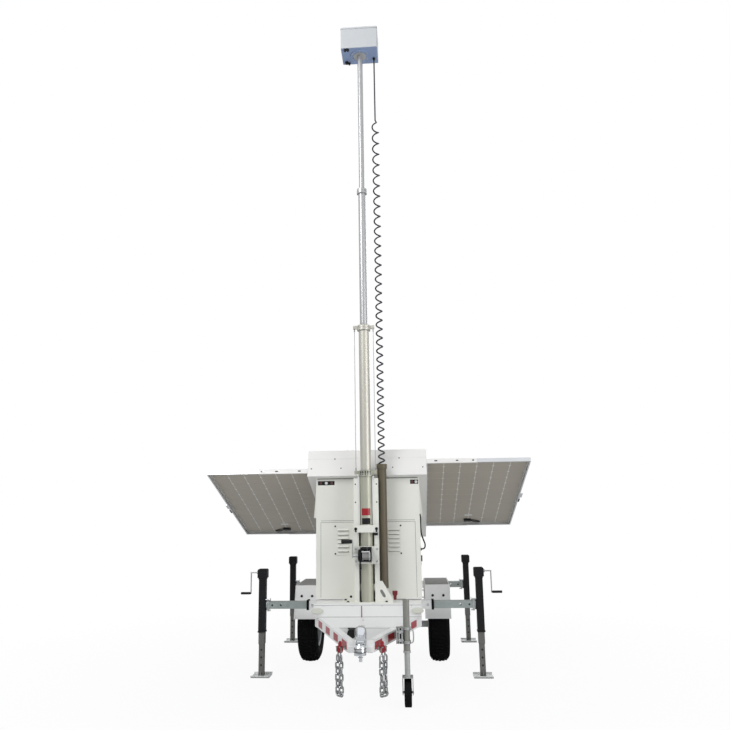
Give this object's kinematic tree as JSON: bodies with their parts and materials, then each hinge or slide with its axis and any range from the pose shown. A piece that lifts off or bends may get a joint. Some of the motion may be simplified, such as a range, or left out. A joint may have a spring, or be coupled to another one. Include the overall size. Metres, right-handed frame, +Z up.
{
  "type": "mobile solar mast trailer",
  "caption": "Towed trailer on swivelling jacks, with a telescopic mast, an equipment cabinet and sliding solar panels in a sloped housing.",
  "frame": {"origin": "centre of the whole trailer's box, on the ground", "axes": "+X to the trailer's right seen from its drawbar, +Y to its rear, +Z up along the mast"},
  "size_m": [2.9128, 2.802, 5.954],
  "materials": {
    "galvanised": "hot-dip galvanised, matt",
    "dark_galvanised": "weathered galvanised, blue-grey",
    "cabinet_white": "satin powder coat",
    "housing_white": "satin powder coat",
    "black_steel": "satin black paint",
    "black_plastic": "grained",
    "tyre": "matt rubber",
    "rim": "silver paint",
    "glass": "textured solar glass over dark cells",
    "alloy": "satin anodised",
    "mast_alloy": "drawn tube, satin",
    "head": "light grey powder coat",
    "conduit": "brown pipe",
    "cable": "matt",
    "wire": "stranded",
    "lamp": "moulded lens",
    "battery": "moulded case",
    "chain": "zinc plated",
    "grey_rubber": "solid tyre"
  },
  "bodies": {
    "root": {"side_rails": "housing_white", "cross_members": "housing_white", "front_platform": "housing_white", "drawbar": "housing_white", "coupler": "galvanised", "trailer_plug": "black_plastic", "safety_chains": "chain", "axle": "galvanised", "leaf_springs": "black_steel", "fender_left": "housing_white", "fender_right": "housing_white", "cabinet_front": "cabinet_white", "cabinet_left": "cabinet_white", "cabinet_right": "cabinet_white", "cabinet_rear": "cabinet_white", "cabinet_floor": "cabinet_white", "battery_bank": "battery", "housing_base": "housing_white", "housing_cover": "housing_white", "mast_bracket": "housing_white", "mast_base": "mast_alloy", "mast_winch": "black_steel", "lift_wires": "wire", "curly_cable": "cable", "cable_conduit": "conduit", "lamps": "lamp", "jockey_tube": "galvanised"},
    "wheel_left": {"rim_left": "rim", "tyre_left": "tyre"},
    "wheel_right": {"rim_right": "rim", "tyre_right": "tyre"},
    "door_left": {"door_left": "cabinet_white"},
    "door_right": {"door_right": "cabinet_white"},
    "panel_left": {"panel_frame_left": "alloy", "panel_glass_left": "glass"},
    "slides_left": {"slide_rails_left": "housing_white"},
    "panel_right": {"panel_frame_right": "alloy", "panel_glass_right": "glass"},
    "slides_right": {"slide_rails_right": "housing_white"},
    "stage_2": {"mast_stage_2": "mast_alloy"},
    "stage_3": {"mast_stage_3": "mast_alloy"},
    "stage_4": {"mast_stage_4": "mast_alloy", "head_box": "head"},
    "jockey_leg": {"jockey_leg": "galvanised"},
    "jockey_fork": {"jockey_fork": "galvanised"},
    "jockey_wheel": {"jockey_wheel": "grey_rubber"},
    "arm_front_left": {"arm_front_left": "dark_galvanised"},
    "jack_front_left": {"jack_front_left": "black_steel"},
    "leg_front_left": {"leg_front_left": "galvanised"},
    "arm_front_right": {"arm_front_right": "dark_galvanised"},
    "jack_front_right": {"jack_front_right": "black_steel"},
    "leg_front_right": {"leg_front_right": "galvanised"},
    "arm_rear_left": {"arm_rear_left": "dark_galvanised"},
    "jack_rear_left": {"jack_rear_left": "black_steel"},
    "leg_rear_left": {"leg_rear_left": "galvanised"},
    "arm_rear_right": {"arm_rear_right": "dark_galvanised"},
    "jack_rear_right": {"jack_rear_right": "black_steel"},
    "leg_rear_right": {"leg_rear_right": "galvanised"}
  },
  "joints": [
    {"name": "wheel_left_spin", "type": "hinge", "parent": "root", "child": "wheel_left", "pos_m": [-0.602, 0.409, 0.325], "axis": [1, 0, 0], "continuous": true},
    {"name": "wheel_right_spin", "type": "hinge", "parent": "root", "child": "wheel_right", "pos_m": [0.602, 0.409, 0.325], "axis": [1, 0, 0], "continuous": true},
    {"name": "door_left_hinge", "type": "hinge", "parent": "root", "child": "door_left", "pos_m": [-0.4585, 0.859, 0.915], "axis": [0, 0, -1], "range_deg": [0, 95]},
    {"name": "door_right_hinge", "type": "hinge", "parent": "root", "child": "door_right", "pos_m": [0.4585, 0.859, 0.915], "axis": [0, 0, 1], "range_deg": [0, 95]},
    {"name": "panel_left_slide", "type": "slide", "parent": "root", "child": "panel_left", "axis": [1, 0, 0], "range_m": [0, 0.911]},
    {"name": "slides_left_slide", "type": "slide", "parent": "root", "child": "slides_left", "axis": [1, 0, 0], "range_m": [0, 0.4555]},
    {"name": "panel_right_slide", "type": "slide", "parent": "root", "child": "panel_right", "axis": [-1, 0, 0], "range_m": [0, 0.911]},
    {"name": "slides_right_slide", "type": "slide", "parent": "root", "child": "slides_right", "axis": [-1, 0, 0], "range_m": [0, 0.4555]},
    {"name": "mast_lower", "type": "slide", "parent": "root", "child": "stage_2", "axis": [0, 0, -1], "range_m": [0, 1.2], "deforming": ["lift_wires", "curly_cable"]},
    {"name": "mast_middle", "type": "slide", "parent": "stage_2", "child": "stage_3", "axis": [0, 0, -1], "range_m": [0, 1.2]},
    {"name": "mast_upper", "type": "slide", "parent": "stage_3", "child": "stage_4", "axis": [0, 0, -1], "range_m": [0, 1.2]},
    {"name": "jockey_lift", "type": "slide", "parent": "root", "child": "jockey_leg", "axis": [0, 0, 1], "range_m": [0, 0.13]},
    {"name": "jockey_swivel", "type": "hinge", "parent": "jockey_leg", "child": "jockey_fork", "pos_m": [0.323, -1.141, 0.206], "axis": [0, 0, 1], "continuous": true},
    {"name": "jockey_wheel_spin", "type": "hinge", "parent": "jockey_fork", "child": "jockey_wheel", "pos_m": [0.323, -1.096, 0.098], "axis": [1, 0, 0], "continuous": true},
    {"name": "arm_front_left_slide", "type": "slide", "parent": "root", "child": "arm_front_left", "axis": [1, 0, 0], "range_m": [0, 0.17]},
    {"name": "jack_front_left_swivel", "type": "hinge", "parent": "arm_front_left", "child": "jack_front_left", "pos_m": [-0.904, -0.2095, 0.584], "axis": [-1, 0, 0], "range_deg": [0, 90]},
    {"name": "leg_front_left_lift", "type": "slide", "parent": "jack_front_left", "child": "leg_front_left", "axis": [0, 0, 1], "range_m": [0, 0.3]},
    {"name": "arm_front_right_slide", "type": "slide", "parent": "root", "child": "arm_front_right", "axis": [-1, 0, 0], "range_m": [0, 0.17]},
    {"name": "jack_front_right_swivel", "type": "hinge", "parent": "arm_front_right", "child": "jack_front_right", "pos_m": [0.904, -0.2095, 0.584], "axis": [-1, 0, 0], "range_deg": [0, 90]},
    {"name": "leg_front_right_lift", "type": "slide", "parent": "jack_front_right", "child": "leg_front_right", "axis": [0, 0, 1], "range_m": [0, 0.3]},
    {"name": "arm_rear_left_slide", "type": "slide", "parent": "root", "child": "arm_rear_left", "axis": [1, 0, 0], "range_m": [0, 0.17]},
    {"name": "jack_rear_left_swivel", "type": "hinge", "parent": "arm_rear_left", "child": "jack_rear_left", "pos_m": [-0.904, 1.321, 0.584], "axis": [1, 0, 0], "range_deg": [0, 90]},
    {"name": "leg_rear_left_lift", "type": "slide", "parent": "jack_rear_left", "child": "leg_rear_left", "axis": [0, 0, 1], "range_m": [0, 0.3]},
    {"name": "arm_rear_right_slide", "type": "slide", "parent": "root", "child": "arm_rear_right", "axis": [-1, 0, 0], "range_m": [0, 0.17]},
    {"name": "jack_rear_right_swivel", "type": "hinge", "parent": "arm_rear_right", "child": "jack_rear_right", "pos_m": [0.904, 1.321, 0.584], "axis": [1, 0, 0], "range_deg": [0, 90]},
    {"name": "leg_rear_right_lift", "type": "slide", "parent": "jack_rear_right", "child": "leg_rear_right", "axis": [0, 0, 1], "range_m": [0, 0.3]}
  ],
  "couplings": [
    {"joint": "slides_left_slide", "follows": "panel_left_slide", "ratio": 0.5},
    {"joint": "slides_right_slide", "follows": "panel_right_slide", "ratio": 0.5},
    {"joint": "mast_middle", "follows": "mast_lower", "ratio": 1},
    {"joint": "mast_upper", "follows": "mast_lower", "ratio": 1}
  ]
}
